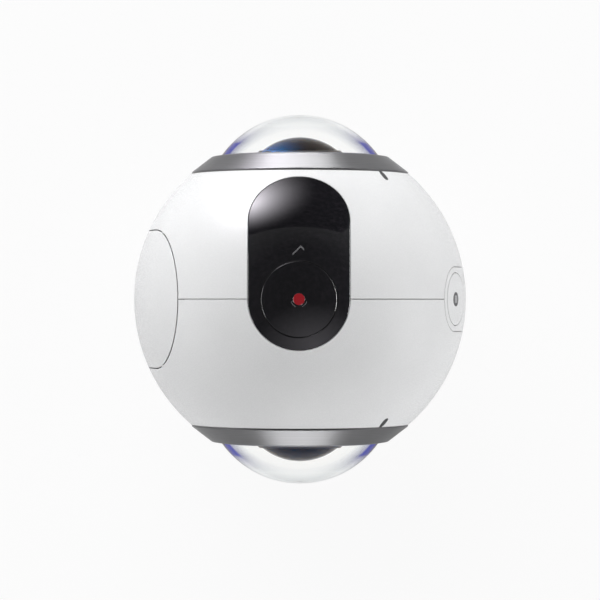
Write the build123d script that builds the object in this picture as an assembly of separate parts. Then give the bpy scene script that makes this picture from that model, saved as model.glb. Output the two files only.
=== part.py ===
from build123d import *
from math import asin, atan2, cos, degrees, hypot, radians, sin, sqrt
import os

# A palm-sized ball camera with a fisheye lens on either side, standing on a flat foot.
# Millimetres. Pieces are drawn about the ball's centre: +Z up, lens axes along +Y (rear)
# and -Y (front), battery door at -X, side keys at +X. At the end every piece is lifted
# so that the foot stands on z = 0.

# Ball casing, two moulded halves that meet at y = 0
ball_radius = 30.05
base_drop_share = 0.8735  # ball centre down to the table
shell_wall = 1.8
parting_gap = 0.12
tongue_wall = 0.8
tongue_height = 1.2

# Clearances
fixed_gap = 0.1  # round pieces that stay put
glue_gap = 0.05  # adhesive under windows, boards and meshes
cap_gap = 0.12  # round the moving caps
overrun = 4.0  # how far a cutting shape runs past what it cuts

# Lens ring: radii from the lens axis, rises along it
ring_radius_share = 0.6522
ring_gap = 0.2
ring_proud = 0.2  # ring's outer edge above the ball
ring_depth = 1.78
ring_rise_share = 0.0922
ring_lip_rise = 0.25
ring_lip_gap = 0.09
ring_wall = 0.75
ring_rounding = 0.6
seat_wall = 1.5

# Front element, a clear dome
dome_radius_share = 0.5824
dome_rise_share = 0.2446  # crest above the ring's lip
dome_wall = 0.75
dome_inner_radius_share = 0.4759
dome_edge_radius_share = 0.4992
dome_skirt_share = 0.0599  # edge below the ring's lip
dome_gap = 0.25
gasket_height = 0.6
gasket_margin = 0.15

# Second element and its black retainer
second_rise_share = 0.0765  # crest above the ring's lip
second_radius_share = 0.3577
second_edge_radius_share = 0.2529
second_back_radius_share = 0.2296
second_wall_share = 0.0632
second_height_share = 0.1564
retainer_lip_radius_share = 0.2296
retainer_wall = 0.6
retainer_chamfer = 0.95

# Lens barrel and what it holds
barrel_radius_share = 0.3328
third_lens_radius_share = 0.1963
relay_lens_radius_share = 0.1531
bore_ledge = 1.0
third_seat_share = 0.657
third_height_share = 0.19
third_sag_share = 0.05
relay_seat_share = 0.28
relay_height_share = 0.24
relay_crown_share = 0.06
cavity_share = 0.165
cavity_radius_share = 0.213
filter_width_share = 0.2529
filter_thickness = 0.4
sensor_width_share = 0.2662
sensor_thickness = 1.1
sensor_board_width_share = 0.5657
sensor_board_corner = 2.0

# Battery and its bay
battery_height_share = 0.8652
battery_thickness_share = 0.3195
battery_corner = 1.5
battery_gap = 0.25
battery_recess = 0.3
bay_wall = 1.35
bay_drop_share = 0.0399
contact_length = 1.4
contact_width = 2.0
contact_pitch = 3.6
contact_count = 4

# Frame between the two halves
frame_half_thickness = 1.5
face_reach_share = 0.6656  # outer face of the plate behind the door
face_wall = 1.5
collar_half_width_share = 0.3378
collar_wall = 1.0
collar_upper_angle = 13.5
collar_lower_angle = -18.0
boss_radius = 2.1
boss_angles = (0, 135, 225)
screw_radius = 0.8
screw_head_height = 1.0
screw_head_gap = 0.15
screw_length = 9.0
screw_hole_gap = 0.15
held_gap = 0.02  # round screws and pins that are held fast
head_room = 0.3

# Boards
board_thickness = 1.0
board_radius_share = 0.8319
board_top_share = 0.5657
component_height = 2.8
card_board_length_share = 1.0116
shield_width_share = 0.4992
shield_height = 1.7
shield_wall = 0.2
processor_width_share = 0.3328
processor_height = 1.1
usb_width = 7.6
usb_height = 2.5
usb_length = 5.0
usb_wall = 0.35
usb_tongue = 0.8
usb_tongue_drop = 1.25
card_width = 12.0
card_height = 1.5
card_length = 14.5
card_wall = 0.3
socket_gap = 0.15

# Door: a wrapped stadium on a gooseneck hinge
door_half_width_share = 0.4077
door_angle = 21.14
door_gap = 0.15
door_wall = 1.5
door_undercut = 1.15
nail_notch_radius = 3.0
nail_notch_depth = 0.8
seal_width = 0.8
seal_height = 0.75
seal_lift = 0.3
pivot_offset_share = 0.1664  # pivot beyond the door's upper tip
pin_radius = 0.7
pin_running_gap = 0.05
ear_radius = 1.5
ear_wall = 1.3
ear_foot = 6.5
shell_clearance = 0.6
arm_half_width = 2.5
arm_gap = 0.4
arm_wall = 1.1
arm_edge_gap = 0.25
arm_eye_radius = 1.6
arm_root_angle = 145.0
arm_spoke_angle = 251.0
sector_steps = 4

# Window on top and the record button in it
window_half_width_share = 0.2945
window_angle = 28.2
window_wall = 1.2
window_shelf = 1.0
record_radius_share = 0.2196
record_flange_radius_share = 0.2429
record_dot_radius_share = 0.0333
record_switch_drop = 6.95  # ball surface to the plate under the switch
cap_wall = 1.5
flange_wall = 0.8
flange_lift = 0.12
stem_radius = 1.3
key_travel = 0.35
switch_air = 0.05
record_switch_width = 5.0
switch_height = 1.4
plunger_radius = 1.1
plunger_height = 0.4

# Display under the window, and the bracket that holds display and switch
display_tilt = 26.0
display_length_share = 0.4326
display_height_share = 0.2995
display_thickness = 1.4
bracket_half_depth_share = 0.1664
bracket_wall = 1.2

# Side keys
panel_half_width_share = 0.193
panel_angle = 21.0
panel_wall = 1.2
panel_shelf = 0.5
key_radius_share = 0.1581
key_flange_radius_share = 0.1681
side_switch_drop = 5.85  # ball surface to the board under the switches
side_board_wall = 0.8
side_board_half_width = 4.6
side_switch_width = 4.0
side_switch_height = 1.2

# Microphones: a sound slot at each ring's edge
slot_angle = 46.0
slot_width = 0.8
slot_length = 1.25
mic_depth = 1.0
mic_width = 1.8
mic_length = 3.0
mesh_thickness = 0.1

# Base
base_radius_share = 0.4659
base_wall = 1.5
base_floor_wall = 1.25
foot_inner_radius_share = 0.3527
foot_outer_radius_share = 0.4393
foot_depth = 1.0
foot_rise = 0.3  # foot ring stands proud of the base plate
insert_radius = 4.6
insert_length = 6.0
insert_flange_radius = 6.2
insert_flange_wall = 0.8
pillar_wall = 1.6
thread_radius = 2.6
thread_depth = 5.2

# Antenna on the inner wall of the rear half
antenna_half_width = 3.0
antenna_angle = 12.0
antenna_heading = 35.0
antenna_thickness = 0.15

# Sizes that follow the ball
base_drop = base_drop_share * ball_radius
ring_radius = ring_radius_share * ball_radius
ring_rise = ring_rise_share * ball_radius
dome_radius = dome_radius_share * ball_radius
dome_rise = dome_rise_share * ball_radius
dome_inner_radius = dome_inner_radius_share * ball_radius
dome_edge_radius = dome_edge_radius_share * ball_radius
dome_skirt = dome_skirt_share * ball_radius
second_rise = second_rise_share * ball_radius
second_radius = second_radius_share * ball_radius
second_edge_radius = second_edge_radius_share * ball_radius
second_back_radius = second_back_radius_share * ball_radius
second_wall = second_wall_share * ball_radius
second_height = second_height_share * ball_radius
retainer_lip_radius = retainer_lip_radius_share * ball_radius
barrel_radius = barrel_radius_share * ball_radius
third_lens_radius = third_lens_radius_share * ball_radius
relay_lens_radius = relay_lens_radius_share * ball_radius
cavity_radius = cavity_radius_share * ball_radius
filter_width = filter_width_share * ball_radius
sensor_width = sensor_width_share * ball_radius
sensor_board_width = sensor_board_width_share * ball_radius
battery_height = battery_height_share * ball_radius
battery_thickness = battery_thickness_share * ball_radius
bay_drop = bay_drop_share * ball_radius
face_reach = face_reach_share * ball_radius
collar_half_width = collar_half_width_share * ball_radius
board_radius = board_radius_share * ball_radius
board_top = board_top_share * ball_radius
card_board_length = card_board_length_share * ball_radius
shield_width = shield_width_share * ball_radius
processor_width = processor_width_share * ball_radius
door_half_width = door_half_width_share * ball_radius
pivot_offset = pivot_offset_share * ball_radius
window_half_width = window_half_width_share * ball_radius
record_radius = record_radius_share * ball_radius
record_flange_radius = record_flange_radius_share * ball_radius
record_dot_radius = record_dot_radius_share * ball_radius
display_length = display_length_share * ball_radius
display_height = display_height_share * ball_radius
bracket_half_depth = bracket_half_depth_share * ball_radius
panel_half_width = panel_half_width_share * ball_radius
key_radius = key_radius_share * ball_radius
key_flange_radius = key_flange_radius_share * ball_radius
base_radius = base_radius_share * ball_radius
foot_inner_radius = foot_inner_radius_share * ball_radius
foot_outer_radius = foot_outer_radius_share * ball_radius

# Places that follow from the sizes above
inner_radius = ball_radius - shell_wall
ring_edge = sqrt(ball_radius**2 - ring_radius**2) + ring_proud
ring_bore = dome_edge_radius + dome_gap
ring_shoulder_radius = ring_bore + ring_wall
boss_circle_radius = (ring_bore + ring_radius) / 2
screw_head_radius = (ring_radius - ring_bore) / 2 - ring_wall - screw_head_gap
seat_face = ring_edge - ring_depth
seat_back = seat_face - seat_wall
shoulder = ring_edge + ring_rise
lip = shoulder + ring_lip_rise
dome_centre = lip + dome_rise - dome_radius
dome_inner_centre = lip + dome_rise - dome_wall - dome_inner_radius
dome_base = lip - dome_skirt
barrel_deck = dome_base - gasket_height
second_crest = lip + second_rise
second_centre = second_crest - second_radius
nose = second_crest - second_height
retainer_radius = second_edge_radius + glue_gap + retainer_wall
bay_half_depth = battery_thickness / 2 + battery_gap + bay_wall
bay_half_height = battery_height / 2 + battery_gap + bay_wall
bay_top = bay_half_height - bay_drop
bay_bottom = -bay_half_height - bay_drop
side_board_reach = ball_radius - side_switch_drop
side_ledge = side_board_reach - side_board_wall - glue_gap
bay_end = sqrt((side_ledge - fixed_gap) ** 2 - bay_bottom**2)
battery_outer = -face_reach + battery_recess
battery_inner = bay_end - bay_wall - contact_length
board_face = bay_half_depth + board_thickness
sensor_board_back = board_face + component_height
sensor_board_face = sensor_board_back + board_thickness
track = nose - sensor_board_face
window_inner = ball_radius - window_wall
panel_inner = ball_radius - panel_wall
door_inner = ball_radius - door_wall
collar_reach = door_inner - seal_height - seal_lift
base_face = -base_drop + foot_rise
base_seat = base_face + base_wall
floor_top = base_seat + base_floor_wall
frame_radius = inner_radius - fixed_gap
pillar_radius = insert_radius + pillar_wall

# Door tip and hinge pivot, as (x, z) in the plane y = 0
tip_angle = radians(door_angle + degrees(asin(door_half_width / ball_radius)))
tip_out = (-cos(tip_angle), sin(tip_angle))
tip_along = (sin(tip_angle), cos(tip_angle))
pivot_reach = inner_radius - shell_clearance - ear_radius
pivot_height = sqrt(pivot_reach**2 - pivot_offset**2)
pivot_x = pivot_height * tip_out[0] + pivot_offset * tip_along[0]
pivot_z = pivot_height * tip_out[1] + pivot_offset * tip_along[1]
arm_inner = hypot(pivot_offset, ball_radius - pivot_height) + arm_edge_gap
arm_outer = arm_inner + arm_wall
pin_half_length = arm_half_width + arm_gap + ear_wall


def ball(radius):
    """Ball with its poles on the lens axis and its seam at the bottom."""
    return Rot(Y=90) * Rot(X=90) * Sphere(radius)


def ball_wall(low_radius, high_radius):
    return ball(high_radius) - ball(low_radius)


def arc_about(reach, start, end):
    """Arc between two (radius, reach) points about a centre on the lens axis."""
    radius = hypot(start[0], start[1] - reach)
    first = degrees(atan2(start[1] - reach, start[0]))
    last = degrees(atan2(end[1] - reach, end[0]))
    return CenterArc((0, reach), radius, first, last - first)


def turned(*outline):
    """Turn a closed (radius, reach) outline about the lens axis."""
    return Rot(Y=90) * revolve(make_face(Curve() + list(outline)), Axis.Y)


def tube(low_radius, high_radius, low, high):
    """Tube about the lens axis between two reaches."""
    length = high - low
    body = Cylinder(high_radius, length)
    if low_radius > 0:
        body -= Cylinder(low_radius, length)
    return Pos(Y=(low + high) / 2) * Rot(X=90) * body


def upright(low_radius, high_radius, low, high):
    """Tube about the upright axis between two heights."""
    return Rot(X=90) * tube(low_radius, high_radius, low, high)


def block(x, y, z):
    """Box from three (low, high) pairs."""
    size = [high - low for low, high in (x, y, z)]
    middle = [(high + low) / 2 for low, high in (x, y, z)]
    return Pos(*middle) * Box(*size)


def mirrored(piece):
    """The same piece on the other side of the parting plane."""
    return mirror(piece, about=Plane.XZ)


def wrapped(half_width, low_angle, high_angle, low_radius, high_radius, slope=0.0):
    """Stadium wrapped on the ball at +X, long way up. A slope draws its edge inwards."""
    rim = sqrt(ball_radius**2 - half_width**2)
    low = low_radius - overrun
    high = high_radius + overrun
    low_width = half_width + slope * (low - rim)
    high_width = half_width + slope * (high - rim)
    upper = [(low, low_width), (high, high_width)]
    lower = [(high, -high_width), (low, -low_width)]
    band = revolve(make_face(Polyline(*upper, *lower, close=True)), Axis.Y, high_angle - low_angle)
    end = revolve(make_face(Polyline((low, 0), *upper, (high, 0), close=True)), Axis.X)
    stadium = Rot(Y=-high_angle) * (band + end) + Rot(Y=-low_angle) * end
    return stadium & ball_wall(low_radius, high_radius)


def on_top(piece):
    """Carry a wrapped piece from +X, long way up, to the zenith, long way to the rear."""
    return Plane(origin=(0, 0, 0), x_dir=(0, 0, 1), z_dir=(0, 1, 0)).location * piece


def on_left(piece):
    """Carry a wrapped piece from +X to -X."""
    return Rot(Z=180) * piece


def at_key(piece, side):
    """Carry a piece from the upright axis to the upper (1) or lower (-1) side key."""
    return Rot(Y=90 - side * panel_angle) * piece


def window_shape(margin, low_radius, high_radius):
    return on_top(wrapped(window_half_width - margin, 0, window_angle, low_radius, high_radius))


def panel_shape(margin, low_radius, high_radius):
    return wrapped(panel_half_width - margin, -panel_angle, panel_angle, low_radius, high_radius)


def collar_shape(margin, low_radius, high_radius):
    half_width = collar_half_width - margin
    shape = wrapped(half_width, collar_lower_angle, collar_upper_angle, low_radius, high_radius)
    return on_left(shape)


def boss_places():
    """(x, z) of each screw boss round the lens axis."""
    for angle in boss_angles:
        yield boss_circle_radius * cos(radians(angle)), boss_circle_radius * sin(radians(angle))


def hinge_tube(low_radius, high_radius, half_length):
    """Tube about the hinge axis."""
    return Pos(pivot_x, 0, pivot_z) * tube(low_radius, high_radius, -half_length, half_length)


# Casing

def casing_blank():
    """Rear half: ball wall, seat for the lens ring and a flat floor for the base."""
    start = parting_gap / 2
    edge = ring_radius + ring_gap
    bore = barrel_radius + fixed_gap
    outer = [(sqrt(ball_radius**2 - start**2), start), (edge, sqrt(ball_radius**2 - edge**2))]
    inner = [(sqrt(inner_radius**2 - seat_back**2), seat_back), (sqrt(inner_radius**2 - start**2), start)]
    blank = turned(
        arc_about(0, outer[0], outer[1]),
        Polyline(outer[1], (edge, seat_face), (bore, seat_face), (bore, seat_back), inner[0]),
        arc_about(0, inner[0], inner[1]),
        Line(inner[1], outer[0]),
    )
    floor = ball(inner_radius + shell_wall / 2) & block(
        (-ball_radius, ball_radius), (start, ball_radius), (base_face, floor_top)
    )
    return blank + floor


def sound_slot():
    """Straight slot, parallel to the lens axis, with a rounded outer end."""
    start = ring_radius - ring_gap
    end = ring_radius + ring_gap + slot_length
    slot = block((-slot_width / 2, slot_width / 2), (seat_back - overrun, ball_radius), (start, end))
    slot += Pos(Z=end) * tube(0, slot_width / 2, seat_back - overrun, ball_radius)
    return Rot(Y=slot_angle) * slot


def casing_half(rear):
    """One half of the ball, with the pockets of everything that sits in its wall."""
    half = casing_blank()
    tongue_radius = inner_radius + tongue_wall
    if rear:
        half += tube(inner_radius + fixed_gap, tongue_radius, -tongue_height, tongue_wall)
    else:
        half -= tube(0, tongue_radius + fixed_gap, -overrun, tongue_height + fixed_gap)
    half -= sound_slot()
    for x, z in boss_places():
        hole = tube(0, screw_radius + screw_hole_gap, seat_back - overrun, seat_face + overrun)
        half -= Pos(x, 0, z) * hole
    if not rear:
        half = mirrored(half)
    outside = ball_radius + overrun
    half -= window_shape(0, window_inner - glue_gap, outside)
    half -= window_shape(window_shelf, inner_radius - overrun, outside)
    half -= panel_shape(0, panel_inner - glue_gap, outside)
    half -= panel_shape(panel_shelf, inner_radius - overrun, outside)
    doorway = door_half_width + door_gap
    half -= on_left(wrapped(doorway, -door_angle, door_angle, inner_radius - overrun, outside))
    half -= upright(0, ball_radius, -outside, base_face)
    half -= upright(0, base_radius + fixed_gap, -outside, base_seat)
    half -= upright(0, pillar_radius + fixed_gap, -outside, floor_top + overrun)
    return half


def lens_ring():
    """Metal ring round the dome, hollow underneath to clear the screw heads."""
    lip_bore = sqrt(dome_radius**2 - (lip - dome_centre) ** 2) + ring_lip_gap
    dome_shoulder = dome_centre + sqrt(dome_radius**2 - dome_edge_radius**2)
    roof = seat_face + screw_head_height + head_room
    outline = Polyline(
        (ring_radius, seat_face),
        (ring_radius, ring_edge),
        (ring_shoulder_radius, shoulder),
        (lip_bore, lip),
        (ring_bore, dome_shoulder),
        (ring_bore, seat_face),
        (ring_shoulder_radius, seat_face),
        (ring_shoulder_radius, roof),
        (ring_radius - ring_wall, roof),
        (ring_radius - ring_wall, seat_face),
        close=True,
    )
    face = make_face(outline)
    corner = face.vertices().sort_by_distance((ring_shoulder_radius, shoulder, 0))[0]
    return Rot(Y=90) * revolve(fillet(corner, ring_rounding), Axis.Y)


# Optics

def dome():
    """Clear meniscus dome, thicker towards its edge."""
    crest = lip + dome_rise
    edge = dome_centre + sqrt(dome_radius**2 - dome_edge_radius**2)
    hollow = sqrt(dome_inner_radius**2 - (dome_base - dome_inner_centre) ** 2)
    return turned(
        arc_about(dome_centre, (dome_edge_radius, edge), (0, crest)),
        Line((0, crest), (0, crest - dome_wall)),
        arc_about(dome_inner_centre, (0, crest - dome_wall), (hollow, dome_base)),
        Polyline((hollow, dome_base), (dome_edge_radius, dome_base), (dome_edge_radius, edge)),
    )


def dome_gasket():
    hollow = sqrt(dome_inner_radius**2 - (dome_base - dome_inner_centre) ** 2)
    return tube(hollow + gasket_margin, dome_edge_radius - gasket_margin, barrel_deck, dome_base)


def second_lens():
    """Strongly curved meniscus under the dome."""
    edge = second_centre + sqrt(second_radius**2 - second_edge_radius**2)
    back_crest = second_crest - second_wall
    back_centre = back_crest - second_back_radius
    hollow = sqrt(second_back_radius**2 - (nose - back_centre) ** 2)
    return turned(
        arc_about(second_centre, (second_edge_radius, edge), (0, second_crest)),
        Line((0, second_crest), (0, back_crest)),
        arc_about(back_centre, (0, back_crest), (hollow, nose)),
        Polyline((hollow, nose), (second_edge_radius, nose), (second_edge_radius, edge)),
    )


def lens_retainer():
    """Black ring that clamps the second lens on the barrel's nose."""
    bore = second_edge_radius + glue_gap
    sphere = second_radius + glue_gap
    lip_point = (retainer_lip_radius, second_centre + sqrt(sphere**2 - retainer_lip_radius**2))
    bore_point = (bore, second_centre + sqrt(sphere**2 - bore**2))
    top = lip_point[1] + glue_gap
    return turned(
        arc_about(second_centre, bore_point, lip_point),
        Polyline(
            lip_point,
            (retainer_lip_radius, top),
            (retainer_radius - retainer_chamfer, top),
            (retainer_radius, top - retainer_chamfer),
            (retainer_radius, nose),
            (bore, nose),
            bore_point,
        ),
    )


def bore_levels():
    """Reaches of the third lens's seat, the relay lens's seat and the cavity's roof."""
    shares = (third_seat_share, relay_seat_share, cavity_share)
    return [sensor_board_face + share * track for share in shares]


def lens_barrel():
    """Black barrel: flange on the casing's seat, conical deck, stepped bore."""
    third_seat, relay_seat, roof = bore_levels()
    deck_radius = sqrt(dome_inner_radius**2 - (dome_base - dome_inner_centre) ** 2)
    third_bore = third_lens_radius + glue_gap
    relay_bore = relay_lens_radius + glue_gap
    outline = Polyline(
        (barrel_radius, sensor_board_face),
        (barrel_radius, seat_face),
        (dome_edge_radius, seat_face),
        (dome_edge_radius, barrel_deck),
        (deck_radius, barrel_deck),
        (retainer_radius + fixed_gap, nose),
        (third_bore, nose),
        (third_bore, third_seat),
        (relay_bore, third_seat),
        (relay_bore, relay_seat),
        (relay_lens_radius - bore_ledge, relay_seat),
        (relay_lens_radius - bore_ledge, roof),
        (cavity_radius, roof),
        (cavity_radius, sensor_board_face),
        close=True,
    )
    return Rot(Y=90) * revolve(make_face(outline), Axis.Y)


def third_lens():
    """Hollow on both faces."""
    seat = bore_levels()[0]
    height = third_height_share * track
    sag = third_sag_share * track
    rim = third_lens_radius - bore_ledge
    body = tube(0, third_lens_radius, seat, seat + height)
    bowl = (rim**2 + sag**2) / (2 * sag)
    for centre in (seat + height - sag + bowl, seat + sag - bowl):
        body -= Pos(Y=centre) * ball(bowl)
    return body


def relay_lens():
    """Crowned on both faces."""
    seat = bore_levels()[1]
    height = relay_height_share * track
    crown = relay_crown_share * track
    rim = relay_lens_radius - bore_ledge
    body = tube(0, relay_lens_radius, seat, seat + height)
    bulge = (rim**2 + crown**2) / (2 * crown)
    for centre, inward in ((seat + height + crown - bulge, 1), (seat - crown + bulge, -1)):
        cap = Pos(Y=centre) * ball(bulge)
        edge = seat + height if inward > 0 else seat
        slab = (edge, edge + inward * overrun)
        cap &= block((-rim, rim), (min(slab), max(slab)), (-rim, rim))
        body += cap
    return body


def infrared_filter():
    half = filter_width / 2
    roof = bore_levels()[2]
    return block((-half, half), (roof - filter_thickness, roof), (-half, half))


def image_sensor():
    half = sensor_width / 2
    reach = (sensor_board_face, sensor_board_face + sensor_thickness)
    return block((-half, half), reach, (-half, half))


def sensor_board():
    outline = RectangleRounded(sensor_board_width, sensor_board_width, sensor_board_corner)
    board = extrude(outline, board_thickness)
    return Pos(Y=sensor_board_face) * Rot(X=90) * board


# Frame, battery and boards

def mid_frame():
    """Moulded frame: rim between the halves, battery bay, door-side face with its collar,
    screw bosses, hinge ears and the pillar over the tripod thread."""
    half_deep = battery_thickness / 2 + battery_gap
    half_high = battery_height / 2 + battery_gap
    beyond = ball_radius + overrun

    rim = tube(0, frame_radius, -frame_half_thickness, frame_half_thickness)
    rim -= block((-beyond, record_flange_radius + moving_room()), (-beyond, beyond), (bay_top, beyond))
    rim -= block((-beyond, -face_reach), (-beyond, beyond), (-beyond, beyond))
    rim -= block((-beyond, beyond), (-beyond, beyond), (-beyond, floor_top + fixed_gap))
    rim -= wrapped(side_board_half_width + moving_room(), -panel_angle, panel_angle, side_ledge, beyond)

    across = (-door_half_width, door_half_width)
    face = block((-face_reach, -face_reach + face_wall), across, (-beyond, beyond))
    face &= ball(frame_radius)
    face &= block((-beyond, beyond), (-beyond, beyond), (floor_top + fixed_gap, beyond))
    collar = collar_shape(0, face_reach - overrun, collar_reach)
    collar -= collar_shape(collar_wall, face_reach - 2 * overrun, beyond)
    collar &= block((-beyond, -face_reach + face_wall / 2), (-beyond, beyond), (-beyond, beyond))

    frame = block((-face_reach, bay_end), (-bay_half_depth, bay_half_depth), (bay_bottom, bay_top))
    frame += rim
    frame += face
    frame += collar
    for x, z in boss_places():
        start = half_deep if x < 0 else 0
        boss = tube(0, boss_radius, start, seat_back)
        boss += mirrored(boss)
        frame += Pos(x, 0, z) * boss
    frame -= hinge_tube(0, arm_outer + arm_edge_gap, arm_half_width + arm_gap)
    frame += upright(0, pillar_radius, base_seat, bay_bottom + bay_wall / 2)
    for side in (-1, 1):
        frame += hinge_ear(side)

    frame -= block(
        (-beyond, battery_inner + contact_length),
        (-half_deep, half_deep),
        (-half_high - bay_drop, half_high - bay_drop),
    )
    frame -= upright(0, insert_radius + glue_gap, base_face - overrun, base_face + insert_length + glue_gap)
    frame -= usb_body(socket_gap)
    frame -= card_body(socket_gap)
    for x, z in boss_places():
        hole = tube(0, screw_radius + held_gap, seat_face - screw_length - fixed_gap, seat_back + overrun)
        frame -= Pos(x, 0, z) * (hole + mirrored(hole))
    return frame


def moving_room():
    """Room kept clear beside the inner pieces of the keys."""
    return key_travel + glue_gap + fixed_gap


def hinge_ear(side):
    """Ear that carries one end of the hinge pin, standing on the bay."""
    low = arm_half_width + arm_gap
    start = low if side > 0 else -low - ear_wall
    foot = (pivot_x - ear_foot / 2, pivot_x + ear_foot / 2)
    outline = make_hull(
        [
            Pos(pivot_x, pivot_z) * Circle(ear_radius).edge(),
            Line((foot[0], bay_top - bay_wall / 2), (foot[1], bay_top - bay_wall / 2)),
        ]
    )
    ear = extrude(outline, ear_wall)
    ear = Pos(Y=start + ear_wall) * Rot(X=90) * ear
    return ear - hinge_tube(0, pin_radius + held_gap, pin_half_length + glue_gap)


def battery():
    half_deep = battery_thickness / 2
    half_high = battery_height / 2
    cell = block(
        (battery_outer, battery_inner),
        (-half_deep, half_deep),
        (-half_high - bay_drop, half_high - bay_drop),
    )
    return fillet(cell.edges().filter_by(Axis.X), battery_corner)


def battery_contacts():
    """Sprung contacts between the bay's end wall and the battery."""
    half = contact_width / 2
    middle = (contact_count - 1) / 2
    contacts = []
    for number in range(contact_count):
        height = (number - middle) * contact_pitch - bay_drop
        reach = (battery_inner, battery_inner + contact_length)
        contacts.append(block(reach, (-half, half), (height - half / 2, height + half / 2)))
    return contacts


def main_board():
    """Round board on the bay's rear side, cut back from the door and the bracket."""
    board = tube(0, board_radius, bay_half_depth, board_face)
    low = floor_top + fixed_gap
    board &= block((-face_reach + face_wall + fixed_gap, board_radius), (0, ball_radius), (low, board_top))
    for x, z in boss_places():
        board -= Pos(x, 0, z) * tube(0, boss_radius + fixed_gap, 0, ball_radius)
    return board


def card_board():
    """Small board on the bay's front side."""
    start = -face_reach + face_wall + fixed_gap
    board = block((start, start + card_board_length), (bay_half_depth, board_face), (bay_bottom, bay_top))
    for x, z in boss_places():
        board -= Pos(x, 0, z) * tube(0, boss_radius + fixed_gap, 0, ball_radius)
    return mirrored(board)


def board_shield():
    """Open-bottomed shield over the processor."""
    half = shield_width / 2
    inner = half - shield_wall
    shield = block((-half, half), (board_face, board_face + shield_height), (-half, half))
    return shield - block((-inner, inner), (0, board_face + shield_height - shield_wall), (-inner, inner))


def processor():
    half = processor_width / 2
    return block((-half, half), (board_face, board_face + processor_height), (-half, half))


def usb_body(margin):
    """Outer block of the charging socket, grown by a margin."""
    half = usb_width / 2 + margin
    start = -face_reach - margin
    end = -face_reach + usb_length + margin
    return block((start, end), (board_face - margin, board_face + usb_height + margin), (-half, half))


def usb_socket():
    """Open shell with the contact tongue inside."""
    half = usb_width / 2 - usb_wall
    low = board_face + usb_wall
    high = board_face + usb_height - usb_wall
    socket = usb_body(0)
    end = -face_reach + usb_length - usb_wall
    socket -= block((-face_reach - overrun, end), (low, high), (-half, half))
    middle = (low + high) / 2
    tongue_half = usb_tongue / 2
    tongue = block(
        (-face_reach + usb_tongue_drop, end),
        (middle - tongue_half / 2, middle + tongue_half / 2),
        (-half + usb_tongue, half - usb_tongue),
    )
    return socket + tongue


def card_body(margin):
    half = card_width / 2 + margin
    start = -face_reach - margin
    end = -face_reach + card_length + margin
    body = block((start, end), (board_face - margin, board_face + card_height + margin), (-half, half))
    return mirrored(body)


def card_socket():
    """Flat metal shell with a slot for a memory card."""
    half = card_width / 2 - card_wall
    low = board_face + card_wall
    high = board_face + card_height - card_wall
    end = -face_reach + card_length - card_wall
    slot = block((-face_reach - overrun, end), (low, high), (-half, half))
    return card_body(0) - mirrored(slot)


# Door and hinge

def door_slope():
    """Slope of the door's edge, so that its inner side is undercut past the radial line."""
    rim_angle = asin(door_half_width / ball_radius)
    inner_angle = rim_angle - door_undercut / door_inner
    drop = ball_radius * cos(rim_angle) - door_inner * cos(inner_angle)
    return (door_half_width - door_inner * sin(inner_angle)) / drop


def battery_door():
    door = on_left(
        wrapped(door_half_width, -door_angle, door_angle, door_inner, ball_radius, door_slope())
    )
    reach = ball_radius + nail_notch_radius - nail_notch_depth
    notch = Rot(Y=-degrees(tip_angle)) * Pos(X=-reach) * Sphere(nail_notch_radius)
    return door - notch


def door_seal():
    """Rubber ring on the door's inner face, over the collar."""
    low = collar_reach + seal_lift
    margin = (collar_wall - seal_width) / 2
    seal = collar_shape(margin, low, door_inner)
    return seal - collar_shape(margin + seal_width, low - overrun, ball_radius)


def hinge_sector(low_angle, high_angle):
    """Wedge about the hinge axis; 0 degrees points away from the door, along the ball."""
    points = [(0, 0)]
    for step in range(sector_steps + 1):
        angle = radians(low_angle + (high_angle - low_angle) * step / sector_steps)
        along = 2 * arm_outer * cos(angle)
        out = 2 * arm_outer * sin(angle)
        points.append((along * tip_along[0] + out * tip_out[0], along * tip_along[1] + out * tip_out[1]))
    wedge = extrude(make_face(Polyline(*points, close=True)), 2 * arm_half_width)
    return Pos(pivot_x, arm_half_width, pivot_z) * Rot(X=90) * wedge


def door_arm():
    """Gooseneck arm: eye on the pin, a spoke, and an arc about the pin up to the door."""
    arc = hinge_tube(arm_inner, arm_outer, arm_half_width)
    arc &= hinge_sector(arm_root_angle, arm_spoke_angle)
    angle = radians(arm_spoke_angle)
    along = (
        cos(angle) * tip_along[0] + sin(angle) * tip_out[0],
        cos(angle) * tip_along[1] + sin(angle) * tip_out[1],
    )
    half = arm_wall / 2
    spoke = block((0, arm_outer - half), (-arm_half_width, arm_half_width), (-half, half))
    spoke = Pos(pivot_x, 0, pivot_z) * Rot(Y=-degrees(atan2(along[1], along[0]))) * spoke
    middle = (arm_inner + arm_outer) / 2
    knee = Pos(middle * along[0], 0, middle * along[1]) * hinge_tube(0, half, arm_half_width)
    arm = arc + spoke + knee + hinge_tube(0, arm_eye_radius, arm_half_width)
    arm &= ball(door_inner)
    return arm - hinge_tube(0, pin_radius + pin_running_gap, pin_half_length)


def hinge_pin():
    return hinge_tube(0, pin_radius, pin_half_length)


# Window, keys and display

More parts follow.
